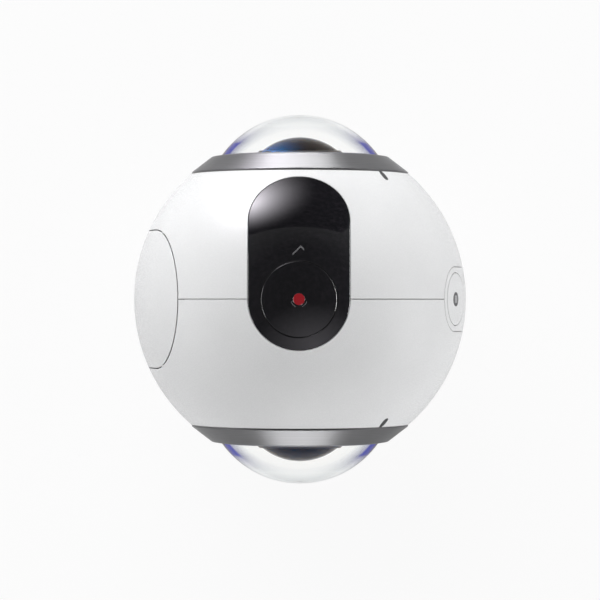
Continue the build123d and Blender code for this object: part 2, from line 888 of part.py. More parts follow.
def key_cap(cap_radius, flange_radius, panel_reach, stem_end):
    """Round key on the upright axis: cap flush with the ball, flange under the panel, stem."""
    flange_reach = panel_reach - flange_lift
    cap_edge = sqrt(ball_radius**2 - cap_radius**2)
    flange_edge = sqrt(flange_reach**2 - flange_radius**2)
    skirt = flange_edge - flange_wall
    hollow = cap_radius - cap_wall
    ceiling = sqrt((ball_radius - cap_wall) ** 2 - hollow**2)
    neck = (cap_radius, sqrt(flange_reach**2 - cap_radius**2))
    return Rot(X=90) * turned(
        arc_about(0, (cap_radius, cap_edge), (0, ball_radius)),
        Polyline(
            (0, ball_radius),
            (0, stem_end),
            (stem_radius, stem_end),
            (stem_radius, ceiling),
            (hollow, ceiling),
            (hollow, skirt),
            (flange_radius, skirt),
            (flange_radius, flange_edge),
        ),
        arc_about(0, (flange_radius, flange_edge), neck),
        Line(neck, (cap_radius, cap_edge)),
    )


def key_switch(width, height, base):
    """Flat switch on the upright axis, with its plunger on top."""
    half = width / 2
    body = block((-half, half), (-half, half), (base, base + height))
    return body + upright(0, plunger_radius, base + height, base + height + plunger_height)


def stem_end(base, height):
    return base + height + plunger_height + key_travel + switch_air


def top_window():
    window = window_shape(fixed_gap, window_inner, ball_radius)
    return window - upright(0, record_radius, 0, ball_radius + overrun)


def record_base():
    return ball_radius - record_switch_drop


def record_button():
    end = stem_end(record_base(), switch_height)
    cap = key_cap(record_radius - cap_gap, record_flange_radius, window_inner, end)
    return cap - upright(0, record_dot_radius, ball_radius - cap_wall, ball_radius + overrun)


def record_dot():
    """Red inlay in the middle of the record button."""
    return upright(0, record_dot_radius, ball_radius - cap_wall, ball_radius + overrun) & ball(ball_radius)


def display_axes():
    tilt = radians(display_tilt)
    return (sin(tilt), cos(tilt)), (cos(tilt), -sin(tilt))


def display_back():
    """Distance of the display's back face from the ball centre."""
    diagonal = hypot(display_length, display_height) / 2
    return sqrt(window_inner**2 - diagonal**2) - glue_gap - display_thickness


def display_module():
    half_length = display_length / 2
    half_height = display_height / 2
    low = display_back()
    panel = block((-half_length, half_length), (-half_height, half_height), (low, low + display_thickness))
    return Rot(X=-display_tilt) * panel


def top_bracket():
    """Bracket over the battery bay: level shelf under the switch, tilted shelf under the display."""
    out, along = display_axes()
    back = display_back()
    reach = display_height / 2

    def tilted(distance, shift):
        return (out[0] * distance + along[0] * shift, out[1] * distance + along[1] * shift)

    top = record_base()
    bottom = top - bracket_wall
    depth = bracket_half_depth
    outline = Polyline(
        (-depth, bay_top),
        (-depth, top),
        (depth, top),
        tilted(back, -reach),
        tilted(back, reach),
        tilted(back - bracket_wall, reach),
        tilted(back - bracket_wall, -reach / 2),
        (depth, bottom - bracket_wall),
        (depth, bay_top),
        (depth - bracket_wall, bay_top),
        (depth - bracket_wall, bottom),
        (-depth + bracket_wall, bottom),
        (-depth + bracket_wall, bay_top),
        close=True,
    )
    profile = make_face(outline)
    bracket = extrude(profile, 2 * display_length / 2)
    return Plane(origin=(-display_length / 2, 0, 0), x_dir=(0, 1, 0), z_dir=(1, 0, 0)).location * bracket


def side_key_panel():
    panel = panel_shape(fixed_gap, panel_inner, ball_radius)
    for side in (-1, 1):
        panel -= at_key(upright(0, key_radius, 0, ball_radius + overrun), side)
    return panel


def side_key(side):
    end = stem_end(side_board_reach, side_switch_height)
    return at_key(key_cap(key_radius - cap_gap, key_flange_radius, panel_inner, end), side)


def side_board():
    low = side_board_reach - side_board_wall
    return wrapped(side_board_half_width, -panel_angle, panel_angle, low, side_board_reach)


def side_switches():
    switch = key_switch(side_switch_width, side_switch_height, side_board_reach)
    return [at_key(switch, side) for side in (-1, 1)]


# Base, sound and radio

def base_plate():
    plate = upright(insert_radius + fixed_gap, base_radius, base_face, base_seat)
    plate -= upright(0, insert_flange_radius + fixed_gap, base_face - overrun, base_face + insert_flange_wall)
    groove = upright(foot_inner_radius, foot_outer_radius, base_face - overrun, foot_seat())
    return plate - groove


def foot_seat():
    return -base_drop + foot_depth


def foot_ring():
    return upright(foot_inner_radius, foot_outer_radius, -base_drop, foot_seat())


def tripod_insert():
    """Metal insert with the blind tripod thread, modelled as a plain bore."""
    insert = upright(0, insert_radius, base_face, base_face + insert_length)
    insert += upright(0, insert_flange_radius, base_face, base_face + insert_flange_wall)
    return insert - upright(0, thread_radius, base_face - overrun, base_face + thread_depth)


def microphone(low, high):
    """Flat piece under the sound slot, between two reaches."""
    outer = sqrt(inner_radius**2 - seat_back**2) - fixed_gap
    half = mic_length / 2
    piece = block((-half, half), (low, high), (outer - mic_width, outer))
    return Rot(Y=slot_angle) * piece


def casing_screws():
    """Screws through both casing halves into the frame's bosses."""
    screws = []
    for x, z in boss_places():
        screw = tube(0, screw_radius, seat_face - screw_length, seat_face)
        screw += tube(0, screw_head_radius, seat_face, seat_face + screw_head_height)
        screws += [Pos(x, 0, z) * screw, Pos(x, 0, z) * mirrored(screw)]
    return screws


def antenna():
    outside = inner_radius - glue_gap
    patch = wrapped(antenna_half_width, -antenna_angle, antenna_angle, outside - antenna_thickness, outside)
    return Rot(Z=antenna_heading) * patch


def pieces():
    """Every piece of the camera by name."""
    mesh_low = seat_back - mesh_thickness
    paired = {
        "lens_ring": lens_ring(),
        "dome": dome(),
        "dome_gasket": dome_gasket(),
        "second_lens": second_lens(),
        "lens_retainer": lens_retainer(),
        "lens_barrel": lens_barrel(),
        "third_lens": third_lens(),
        "relay_lens": relay_lens(),
        "infrared_filter": infrared_filter(),
        "image_sensor": image_sensor(),
        "sensor_board": sensor_board(),
        "mic_mesh": microphone(mesh_low, seat_back),
        "microphone": microphone(mesh_low - mic_depth, mesh_low),
    }
    camera = {"rear_casing": casing_half(True), "front_casing": casing_half(False)}
    for name, piece in paired.items():
        camera["rear_" + name] = piece
        camera["front_" + name] = mirrored(piece)
    camera.update(
        {
            "mid_frame": mid_frame(),
            "battery": battery(),
            "battery_contacts": battery_contacts(),
            "main_board": main_board(),
            "card_board": card_board(),
            "board_shield": board_shield(),
            "processor": processor(),
            "usb_socket": usb_socket(),
            "card_socket": card_socket(),
            "battery_door": battery_door(),
            "door_seal": door_seal(),
            "door_arm": door_arm(),
            "hinge_pin": hinge_pin(),
            "top_window": top_window(),
            "record_button": record_button(),
            "record_dot": record_dot(),
            "record_switch": key_switch(record_switch_width, switch_height, record_base()),
            "display_module": display_module(),
            "top_bracket": top_bracket(),
            "side_key_panel": side_key_panel(),
            "menu_key": side_key(1),
            "power_key": side_key(-1),
            "side_switches": side_switches(),
            "side_key_board": side_board(),
            "base_plate": base_plate(),
            "foot_ring": foot_ring(),
            "tripod_insert": tripod_insert(),
            "casing_screws": casing_screws(),
            "antenna": antenna(),
        }
    )
    return camera


os.makedirs("parts", exist_ok=True)
for name, piece in pieces().items():
    solids = piece if isinstance(piece, list) else [piece]
    lifted = [Pos(Z=base_drop) * solid for solid in solids]
    export_step(Compound(children=lifted) if len(lifted) > 1 else lifted[0], f"parts/{name}.step")
    print(name, round(sum(solid.volume for solid in lifted), 2))
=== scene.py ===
import bmesh
import bpy
import math
from mathutils import Matrix, Vector


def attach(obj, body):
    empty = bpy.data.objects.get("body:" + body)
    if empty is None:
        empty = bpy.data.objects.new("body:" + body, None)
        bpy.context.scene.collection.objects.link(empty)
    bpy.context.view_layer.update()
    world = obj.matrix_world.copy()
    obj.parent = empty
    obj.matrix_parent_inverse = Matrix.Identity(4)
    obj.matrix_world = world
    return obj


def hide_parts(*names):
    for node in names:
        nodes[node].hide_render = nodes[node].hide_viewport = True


# Ball camera with two fisheye lenses, seen from straight above.
# Metres, rear lens towards +Y, front lens towards -Y, door at -X, side keys at +X.
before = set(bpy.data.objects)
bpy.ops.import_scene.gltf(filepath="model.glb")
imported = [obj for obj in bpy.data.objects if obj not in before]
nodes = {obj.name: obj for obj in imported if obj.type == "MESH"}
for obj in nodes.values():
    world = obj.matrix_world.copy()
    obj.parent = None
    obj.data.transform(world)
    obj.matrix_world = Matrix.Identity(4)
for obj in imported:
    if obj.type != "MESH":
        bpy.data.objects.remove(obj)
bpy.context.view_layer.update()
mm = 0.001
centreHeight = 26.249  # ball centre above the table, in mm
ballRadius = 30.05
print("frame loaded:", len(nodes), "nodes")


# material building blocks

def startMaterial(name):
    mat = bpy.data.materials.new(name)
    mat.use_nodes = True
    shader = mat.node_tree.nodes["Principled BSDF"]
    shader.location = (300, 0)
    mat.node_tree.nodes["Material Output"].location = (650, 0)
    return mat, mat.node_tree, shader


def addNode(tree, kind, place, **settings):
    node = tree.nodes.new(kind)
    node.location = place
    for key, value in settings.items():
        if key in node.inputs:
            node.inputs[key].default_value = value
        else:
            setattr(node, key, value)
    return node


def addMath(tree, operation, place, *values):
    # each value is a socket to link or a plain number
    node = addNode(tree, "ShaderNodeMath", place, operation=operation)
    for socket, value in zip(node.inputs, values):
        if isinstance(value, (int, float)):
            socket.default_value = value
        else:
            tree.links.new(value, socket)
    return node.outputs["Value"]


def objectCoords(tree, shift=(0, 0, 0), scale=(1, 1, 1)):
    coords = addNode(tree, "ShaderNodeTexCoord", (-1100, 0))
    mapping = addNode(tree, "ShaderNodeMapping", (-920, 0), Location=shift, Scale=scale)
    tree.links.new(coords.outputs["Object"], mapping.inputs["Vector"])
    return mapping.outputs["Vector"]


def addNoise(tree, vector, place, scale, detail=2.0):
    noise = addNode(tree, "ShaderNodeTexNoise", place, Scale=scale, Detail=detail)
    tree.links.new(vector, noise.inputs["Vector"])
    return noise.outputs["Fac"]


def twoTone(tree, fac, place, dark, light, low=0.3, high=0.7):
    node = addNode(tree, "ShaderNodeValToRGB", place)
    for element, position, colour in zip(node.color_ramp.elements, (low, high), (dark, light)):
        element.position = position
        element.color = (*colour, 1)
    tree.links.new(fac, node.inputs["Fac"])
    return node.outputs["Color"]


def addBump(tree, height, place, strength, distance, normal=None):
    bump = addNode(tree, "ShaderNodeBump", place, Strength=strength, Distance=distance)
    tree.links.new(height, bump.inputs["Height"])
    if normal is not None:
        tree.links.new(normal, bump.inputs["Normal"])
    return bump.outputs["Normal"]


def rangeOf(tree, fac, place, low, high, fromLow=0.0, fromHigh=1.0):
    node = addNode(tree, "ShaderNodeMapRange", place)
    for key, value in (("From Min", fromLow), ("From Max", fromHigh), ("To Min", low), ("To Max", high)):
        node.inputs[key].default_value = value
    tree.links.new(fac, node.inputs["Value"])
    return node.outputs["Result"]


def softEdges(tree, place, radius):
    # rounds the look of sharp edges, as on moulded parts
    node = addNode(tree, "ShaderNodeBevel", place, samples=8, Radius=radius)
    return node.outputs["Normal"]


def straightRays(tree, place):
    # 1 for rays that come from the camera itself or through clear glass
    rays = addNode(tree, "ShaderNodeLightPath", place)
    straight = addMath(tree, "MAXIMUM", (place[0] + 200, place[1] + 150),
                       rays.outputs["Is Camera Ray"], rays.outputs["Is Transmission Ray"])
    return rays, straight


def mixShaders(tree, place, share, first, second):
    mix = addNode(tree, "ShaderNodeMixShader", place)
    for socket, value in zip(mix.inputs, (share, first, second)):
        tree.links.new(value, socket)
    return mix.outputs["Shader"]


# finishes; lengths in metres, scales per metre

plasticLook = {"cloudScale": 90, "detail": 3, "roughSpread": 0.04, "bump": 0.35}


def mouldedPlastic(name, dark, light, rough, grainScale, bumpHeight, specular=0.5, edge=0.0):
    look = plasticLook
    mat, tree, shader = startMaterial(name)
    vector = objectCoords(tree)
    cloud = addNoise(tree, vector, (-700, 200), look["cloudScale"], look["detail"])
    grain = addNoise(tree, vector, (-700, -150), grainScale)
    tree.links.new(twoTone(tree, cloud, (-450, 250), dark, light), shader.inputs["Base Color"])
    roughness = rangeOf(tree, grain, (-450, 0), rough - look["roughSpread"], rough + look["roughSpread"])
    tree.links.new(roughness, shader.inputs["Roughness"])
    rounded = softEdges(tree, (-450, -450), edge) if edge else None
    normal = addBump(tree, grain, (0, -250), look["bump"], bumpHeight, rounded)
    tree.links.new(normal, shader.inputs["Normal"])
    shader.inputs["Specular IOR Level"].default_value = specular
    return mat


ringSatin = {
    "dark": (0.17, 0.17, 0.175), "light": (0.23, 0.23, 0.235), "rough": 0.42, "roughBelow": 0.04,
    "roughAbove": 0.05, "pitch": 0.00015, "marksDetail": 3, "cloudScale": 350, "bump": 0.25,
    "depth": 0.000003, "spread": 0.75, "spreadTurn": 0.25, "edge": 0.0002,
}


def turnedMetal(name, look):
    # the distance from the lens axis drives fine turning marks
    mat, tree, shader = startMaterial(name)
    vector = objectCoords(tree, shift=(0, 0, -centreHeight * mm), scale=(1, 0, 1))
    length = addNode(tree, "ShaderNodeVectorMath", (-720, 100), operation="LENGTH")
    tree.links.new(vector, length.inputs[0])
    turns = addNode(tree, "ShaderNodeTexNoise", (-540, 100), noise_dimensions="1D",
                    Scale=1 / look["pitch"], Detail=look["marksDetail"])
    tree.links.new(length.outputs["Value"], turns.inputs["W"])
    marks = turns.outputs["Fac"]
    tree.links.new(twoTone(tree, marks, (-300, 250), look["dark"], look["light"]), shader.inputs["Base Color"])
    cloud = addNoise(tree, vector, (-540, -250), look["cloudScale"])
    roughness = rangeOf(tree, cloud, (-300, -50), look["rough"] - look["roughBelow"],
                        look["rough"] + look["roughAbove"])
    tree.links.new(roughness, shader.inputs["Roughness"])
    rounded = softEdges(tree, (-300, -450), look["edge"])
    normal = addBump(tree, marks, (0, -300), look["bump"], look["depth"], rounded)
    tree.links.new(normal, shader.inputs["Normal"])
    shader.inputs["Metallic"].default_value = 1.0
    shader.inputs["Anisotropic"].default_value = look["spread"]
    shader.inputs["Anisotropic Rotation"].default_value = look["spreadTurn"]
    around = addNode(tree, "ShaderNodeTangent", (0, -500), direction_type="RADIAL", axis="Y")
    tree.links.new(around.outputs["Tangent"], shader.inputs["Tangent"])
    return mat


metalLook = {"cloudScale": 900, "detail": 3, "roughSpread": 0.05}


def metal(name, dark, light, rough):
    look = metalLook
    mat, tree, shader = startMaterial(name)
    vector = objectCoords(tree)
    cloud = addNoise(tree, vector, (-700, 200), look["cloudScale"], look["detail"])
    tree.links.new(twoTone(tree, cloud, (-450, 250), dark, light), shader.inputs["Base Color"])
    roughness = rangeOf(tree, cloud, (-450, 0), rough - look["roughSpread"], rough + look["roughSpread"])
    tree.links.new(roughness, shader.inputs["Roughness"])
    shader.inputs["Metallic"].default_value = 1.0
    return mat


# coats and painted tints: lengths in mm, film in nanometres; the outer face lies between the two skin depths and above
# on the dome the pale grey crown tint and the dark blue rim tint are painted reflections, put into the glass colour
domeCoatAndPaintedTint = {
    "centre": 15.85, "radius": 17.5, "skin": (0.4, 0.2), "clear": (1.0, 1.0, 1.0),
    "crownPaintedTint": (0.97, 0.97, 0.965), "rimPaintedTint": (0.004, 0.006, 0.16), "crownReach": 31.0, "rimReach": 28.0,
    "glance": (0.46, 0.68), "smearScale": 80, "smear": 0.006, "ior": 1.5, "film": 152, "filmIor": 1.28,
}
# the second lens is near black all through: painted shade standing in for the dark barrel behind the clear glass
lensPaintedShade = {
    "centre": 17.55, "radius": 10.75, "skin": (0.4, 0.2), "clear": (0.003, 0.004, 0.004),
    "crownPaintedTint": (0.004, 0.006, 0.006), "rimPaintedTint": (0.002, 0.003, 0.02), "crownReach": 27.4, "rimReach": 26.2,
    "glance": (0.5, 0.8), "smearScale": 80, "smear": 0.006, "ior": 1.18,
}


def glassWithPaintedTint(name, coat):
    # the outer face shows a painted tint at a glancing angle: one tint at the crown, another at the rim
    mat, tree, shader = startMaterial(name)
    vector = objectCoords(tree, shift=(0, 0, -centreHeight * mm))
    either = addNode(tree, "ShaderNodeVectorMath", (-740, 200), operation="ABSOLUTE")
    tree.links.new(vector, either.inputs[0])
    split = addNode(tree, "ShaderNodeSeparateXYZ", (-560, 250))
    tree.links.new(either.outputs["Vector"], split.inputs["Vector"])
    along = rangeOf(tree, split.outputs["Y"], (-380, 250), 0.0, 1.0, coat["rimReach"] * mm, coat["crownReach"] * mm)
    paintedTint = twoTone(tree, along, (-200, 250), coat["rimPaintedTint"], coat["crownPaintedTint"], 0.0, 1.0)
    away = addNode(tree, "ShaderNodeVectorMath", (-560, 50), operation="DISTANCE")
    away.inputs[1].default_value = (0, coat["centre"] * mm, 0)
    tree.links.new(either.outputs["Vector"], away.inputs[0])
    skin = [(coat["radius"] - depth) * mm for depth in coat["skin"]]
    outer = rangeOf(tree, away.outputs["Value"], (-380, 50), 0.0, 1.0, *skin)
    glance = addNode(tree, "ShaderNodeLayerWeight", (-560, 500), Blend=0.5)
    share = rangeOf(tree, glance.outputs["Facing"], (-380, 500), 0.0, 1.0, *coat["glance"])
    both = addMath(tree, "MULTIPLY", (-200, 500), share, outer)
    mix = addNode(tree, "ShaderNodeMix", (60, 300), data_type="RGBA")
    mix.inputs[6].default_value = (*coat["clear"], 1)
    tree.links.new(both, mix.inputs[0])
    tree.links.new(paintedTint, mix.inputs[7])
    tree.links.new(mix.outputs[2], shader.inputs["Base Color"])
    smear = addNoise(tree, vector, (-560, -150), coat["smearScale"])
    tree.links.new(rangeOf(tree, smear, (-300, -150), 0.0, coat["smear"]), shader.inputs["Roughness"])
    shader.inputs["Transmission Weight"].default_value = 1.0
    shader.inputs["IOR"].default_value = coat["ior"]
    if "film" in coat:
        shader.inputs["Thin Film Thickness"].default_value = coat["film"]
        shader.inputs["Thin Film IOR"].default_value = coat["filmIor"]
    return mat


glossLook = {"dark": (0.004, 0.004, 0.005), "light": (0.009, 0.008, 0.010), "stops": (0.4, 0.8),
             "fleckScale": 1600, "smearScale": 120, "smearDetail": 3, "rough": (0.03, 0.09)}


def glossBlack(name, edge=0.0):
    look = glossLook
    mat, tree, shader = startMaterial(name)
    vector = objectCoords(tree)
    flecks = addNoise(tree, vector, (-700, 200), look["fleckScale"])
    colour = twoTone(tree, flecks, (-450, 250), look["dark"], look["light"], *look["stops"])
    tree.links.new(colour, shader.inputs["Base Color"])
    smear = addNoise(tree, vector, (-700, -100), look["smearScale"], look["smearDetail"])
    tree.links.new(rangeOf(tree, smear, (-450, 0), *look["rough"]), shader.inputs["Roughness"])
    if edge:
        tree.links.new(softEdges(tree, (-450, -300), edge), shader.inputs["Normal"])
    return mat


meshLook = {"dark": (0.008, 0.008, 0.008), "light": (0.045, 0.045, 0.047), "stops": (0.2, 0.6),
            "scale": 9000, "unevenness": 0.1, "bump": 0.6, "depth": 0.00003, "rough": 0.6}


# a near-black perforated sheet: its darkness is painted shade filling the slot
def meshWithPaintedShade(name):
    look = meshLook
    mat, tree, shader = startMaterial(name)
    vector = objectCoords(tree)
    holes = addNode(tree, "ShaderNodeTexVoronoi", (-700, 200), Scale=look["scale"], Randomness=look["unevenness"])
    tree.links.new(vector, holes.inputs["Vector"])
    weave = holes.outputs["Distance"]
    colour = twoTone(tree, weave, (-450, 250), look["dark"], look["light"], *look["stops"])
    tree.links.new(colour, shader.inputs["Base Color"])
    tree.links.new(addBump(tree, weave, (0, -250), look["bump"], look["depth"]), shader.inputs["Normal"])
    shader.inputs["Roughness"].default_value = look["rough"]
    return mat


inkLook = {"scale": 4000, "thinShare": 0.85, "stops": (0.3, 0.6), "rough": 0.45}


def printedInk(name, colour):
    look = inkLook
    mat, tree, shader = startMaterial(name)
    vector = objectCoords(tree)
    spots = addNoise(tree, vector, (-700, 200), look["scale"])
    thin = [c * look["thinShare"] for c in colour]
    tree.links.new(twoTone(tree, spots, (-450, 250), thin, colour, *look["stops"]), shader.inputs["Base Color"])
    shader.inputs["Roughness"].default_value = look["rough"]
    return mat


# plastics and inks: dark and light tone, roughness, grain scale, grain height
shellWhite = mouldedPlastic("shellWhite", (0.83, 0.835, 0.84), (0.86, 0.865, 0.87), 0.27, 9000, 0.0000015,
                            edge=0.0002)
barrelMatte = mouldedPlastic("barrelMatte", (0.004, 0.004, 0.0045), (0.008, 0.008, 0.0085), 0.6, 16000, 0.000001,
                             specular=0.2)
steel = metal("brightSteel", (0.50, 0.49, 0.47), (0.62, 0.61, 0.60), 0.3)
finishes = {
    "casing_white": shellWhite,
    "ring_metal": turnedMetal("ringSatin", ringSatin),
    "dome_glass": glassWithPaintedTint("domeCoatedPaintedTint", domeCoatAndPaintedTint),
    "lens_glass": glassWithPaintedTint("lensPaintedShadeGlass", lensPaintedShade),
    "barrel_black": barrelMatte,
    "window_black": glossBlack("windowGloss", edge=0.0002),
    "dot_red": mouldedPlastic("dotRed", (0.28, 0.006, 0.012), (0.36, 0.01, 0.018), 0.3, 8000, 0.000003),
    "frame_grey": mouldedPlastic("frameGrey", (0.10, 0.10, 0.105), (0.14, 0.14, 0.145), 0.55, 5000, 0.00001),
    "base_grey": mouldedPlastic("baseGrey", (0.30, 0.30, 0.31), (0.35, 0.35, 0.36), 0.45, 7000, 0.000008,
                                edge=0.0002),
    "rubber_grey": mouldedPlastic("rubberGrey", (0.07, 0.07, 0.072), (0.10, 0.10, 0.102), 0.8, 4000, 0.00002,
                                  specular=0.3),
    "rubber_black": mouldedPlastic("rubberBlack", (0.01, 0.01, 0.01), (0.02, 0.02, 0.02), 0.8, 4000, 0.00002,
                                   specular=0.3),
    "steel": steel,
    "battery_black": mouldedPlastic("batteryWrap", (0.025, 0.025, 0.027), (0.035, 0.035, 0.038), 0.35, 5000,
                                    0.000006),
    "contact_gold": metal("contactGold", (0.80, 0.56, 0.24), (0.92, 0.68, 0.32), 0.22),
    "board_green": mouldedPlastic("boardGreen", (0.01, 0.07, 0.035), (0.02, 0.11, 0.05), 0.4, 3000, 0.00001),
    "chip_black": mouldedPlastic("chipBlack", (0.015, 0.015, 0.016), (0.03, 0.03, 0.031), 0.5, 6000, 0.000008),
    "display_black": glossBlack("displayGloss"),
}
for node in nodes.values():
    for slot in node.material_slots:
        if slot.material.name in finishes:
            slot.material = finishes[slot.material.name]
for end in ("rear", "front"):
    nodes[f"{end}_dome"].visible_shadow = False  # the lamps reach the lenses through the clear domes
print("finishes set:", len(finishes))


# mesh helpers: mm about the ball's centre, lens axis along Y

weldDistance = 0.0005
smoothAngle = 30


def addObject(name, data):
    obj = bpy.data.objects.new(name, data)
    bpy.context.scene.collection.objects.link(obj)
    return obj


def finishPiece(name, bm, mat, body="casing", instead=()):
    bmesh.ops.remove_doubles(bm, verts=bm.verts, dist=weldDistance)
    bmesh.ops.recalc_face_normals(bm, faces=bm.faces)
    bmesh.ops.scale(bm, vec=(mm, mm, mm), verts=bm.verts)
    bmesh.ops.translate(bm, vec=(0, 0, centreHeight * mm), verts=bm.verts)
    mesh = bpy.data.meshes.new(name)
    for face in bm.faces:
        face.smooth = True
    bm.to_mesh(mesh)
    bm.free()
    mesh.set_sharp_from_angle(angle=math.radians(smoothAngle))
    mesh.materials.append(mat)
    piece = addObject(name, mesh)
    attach(piece, body)
    if instead:
        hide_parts(*instead)


def arcPoints(radius, start, end, steps):
    # (radius, reach) points on a ball round the centre; angles from the radial plane
    angles = [start + (end - start) * step / steps for step in range(steps + 1)]
    return [(radius * math.cos(angle), radius * math.sin(angle)) for angle in angles]


def spinProfile(points, steps):
    # closed (radius, reach) outline turned about the lens axis
    bm = bmesh.new()
    verts = [bm.verts.new((max(r, 0.0), reach, 0)) for r, reach in points]
    edges = [bm.edges.new((a, b)) for a, b in zip(verts, verts[1:] + verts[:1])]
    bmesh.ops.spin(bm, geom=verts + edges, cent=(0, 0, 0), axis=(0, 1, 0), angle=math.tau, steps=steps, use_merge=True)
    return bm


def rotate(bm, degrees, axis, verts=None):
    matrix = Matrix.Rotation(math.radians(degrees), 3, axis)
    bmesh.ops.rotate(bm, cent=(0, 0, 0), matrix=matrix, verts=verts or bm.verts)


def extrude(bm, faces):
    grown = bmesh.ops.extrude_face_region(bm, geom=faces)
    return [item for item in grown["geom"] if isinstance(item, bmesh.types.BMVert)]


def bothSides(name, build, mat, instead=()):
    for end in ("rear", "front"):
        bm = build()
        if end == "front":
            bmesh.ops.scale(bm, vec=(1, -1, 1), verts=bm.verts)
        finishPiece(f"{end}{name}", bm, mat, instead=[f"{end}_{node}" for node in instead])


# rings, barrel and retainer

ringSeal = {"inner": 19.62, "outer": 19.76, "low": 21.3, "high": 22.35, "edgeParts": 3, "steps": 160}


def makeRingSeal():
    seal = ringSeal
    edge = (seal["outer"] - seal["inner"]) / seal["edgeParts"]
    return spinProfile([
        (seal["inner"], seal["low"]), (seal["outer"], seal["low"]), (seal["outer"], seal["high"] - edge),
        (seal["outer"] - edge, seal["high"]), (seal["inner"] + edge, seal["high"]),
        (seal["inner"], seal["high"] - edge),
    ], seal["steps"])


barrel = {
    "radius": 10.0, "foot": 11.2, "flange": 15.0, "seat": 21.2, "deck": 23.55, "deckInner": 13.0,
    "nose": 23.6, "noseRadius": 8.35, "bore": 5.95, "boreSeat": 19.35, "relayBore": 4.65, "relaySeat": 14.68,
    "mouth": 3.6, "roof": 13.25, "cavity": 6.4, "ribs": 4, "ribDepth": 0.35, "ribStart": 0.3, "ribRoom": 0.5,
    "ribSlope": 0.75, "ribFlat": 0.85, "steps": 128,
}


def makeBarrel():
    b = barrel
    deck = []
    pitch = (b["deckInner"] - b["ribRoom"] - b["noseRadius"]) / b["ribs"]
    for rib in range(b["ribs"]):  # light traps round the second lens
        outer = b["deckInner"] - b["ribStart"] - rib * pitch
        deck += [(outer, b["deck"]), (outer, b["deck"] - b["ribDepth"]),
                 (outer - b["ribSlope"] * pitch, b["deck"]), (outer - b["ribFlat"] * pitch, b["deck"])]
    return spinProfile([
        (b["radius"], b["foot"]), (b["radius"], b["seat"]), (b["flange"], b["seat"]), (b["flange"], b["deck"]),
        *deck, (b["noseRadius"], b["nose"]), (b["bore"], b["nose"]), (b["bore"], b["boreSeat"]),
        (b["relayBore"], b["boreSeat"]), (b["relayBore"], b["relaySeat"]), (b["mouth"], b["relaySeat"]),
        (b["mouth"], b["roof"]), (b["cavity"], b["roof"]), (b["cavity"], b["foot"]),
    ], b["steps"])


retainer = {
    "centre": 17.55, "sphere": 10.8, "lip": 6.9, "lipHeight": 0.05, "bore": 7.65, "outer": 8.25, "nose": 23.6,
    "chamfer": 0.95, "edge": 0.1, "slots": 2, "slotTurn": 90, "slotHalfAngle": 5.0, "slotDepth": 0.35,
    "topBand": 0.02, "steps": 144,
}


def makeRetainer():
    r = retainer
    lipReach, boreReach = [r["centre"] + math.sqrt(r["sphere"] ** 2 - r[key] ** 2) for key in ("lip", "bore")]
    top = lipReach + r["lipHeight"]
    bm = spinProfile([
        (r["bore"], boreReach), (r["lip"], lipReach), (r["lip"], top),
        (r["outer"] - r["chamfer"], top), (r["outer"] - r["edge"], top - r["chamfer"] + r["edge"]),
        (r["outer"], top - r["chamfer"] - r["edge"]), (r["outer"], r["nose"]), (r["bore"], r["nose"]),
    ], r["steps"])
    for slotNumber in range(r["slots"]):  # notches for the assembly key
        turn = slotNumber * math.tau / r["slots"] + math.radians(r["slotTurn"])
        picked = []
        for face in bm.faces:
            middle = face.calc_center_median()
            away = abs((math.atan2(middle.z, middle.x) - turn + math.pi) % math.tau - math.pi)
            if away < math.radians(r["slotHalfAngle"]) and middle.y > top - r["topBand"]:
                picked.append(face)
        pushed = extrude(bm, picked)
        bmesh.ops.translate(bm, vec=(0, -r["slotDepth"], 0), verts=pushed)
        bmesh.ops.delete(bm, geom=picked, context="FACES")
    return bm


bothSides("RingSeal", makeRingSeal, finishes["rubber_black"])
bothSides("Barrel", makeBarrel, barrelMatte, ["lens_barrel"])
retainerBlack = mouldedPlastic("retainerBlack", (0.012, 0.012, 0.013), (0.02, 0.02, 0.021), 0.3, 7000, 0.000006)
bothSides("Retainer", makeRetainer, retainerBlack, ["lens_retainer"])
print("rings and barrels done")


# sound slots: a near-black mesh a little below the shell, whose darkness is painted shade of the slot's depth, and a
# thin liner whose lip lies on the shell

soundSlot = {"angle": 46.0, "width": 0.78, "start": 19.85, "end": 21.1, "low": 19.75, "surface": 29.97,
             "segments": 24, "longEdge": 0.5, "cuts": 8}
slotTrim = {**soundSlot, "width": 1.08, "end": 20.98, "surface": 30.062, "lipBand": 0.01, "skirt": 29.99}


def slotShape(s):
    bm = bmesh.new()
    bmesh.ops.create_circle(bm, cap_ends=True, segments=s["segments"], radius=s["width"] / 2)
    rotate(bm, 90, "X")
    for vert in bm.verts:
        vert.co.z += s["end"] if vert.co.z > 0 else s["start"] + s["width"] / 2
        vert.co.y = s["low"]
    longEdges = [edge for edge in bm.edges if edge.calc_length() > s["longEdge"]]
    bmesh.ops.subdivide_edges(bm, edges=longEdges, cuts=s["cuts"], use_grid_fill=True)
    for vert in extrude(bm, bm.faces[:]):
        vert.co.y = math.sqrt(s["surface"] ** 2 - vert.co.x ** 2 - vert.co.z ** 2)
    rotate(bm, s["angle"], "Y")
    return bm


def makeSlotMesh():
    return slotShape(soundSlot)


def makeSlotTrim():
    bm = slotShape(slotTrim)
    for vert in bm.verts:
        if vert.co.length < slotTrim["surface"] - slotTrim["lipBand"]:
            flat = math.hypot(vert.co.x, vert.co.z)
            vert.co.y = math.sqrt(slotTrim["skirt"] ** 2 - flat ** 2)
    return bm


bothSides("SlotMesh", makeSlotMesh, meshWithPaintedShade("slotMesh"))
bothSides("SlotTrim", makeSlotTrim, finishes["rubber_grey"])
print("sound slots done")


# marks on the window and the keys, printed on the ball's surface; the grey arcs beside the red dot are a painted
# highlight

markDepth = 0.05  # how far a mark's underside lies below the surface


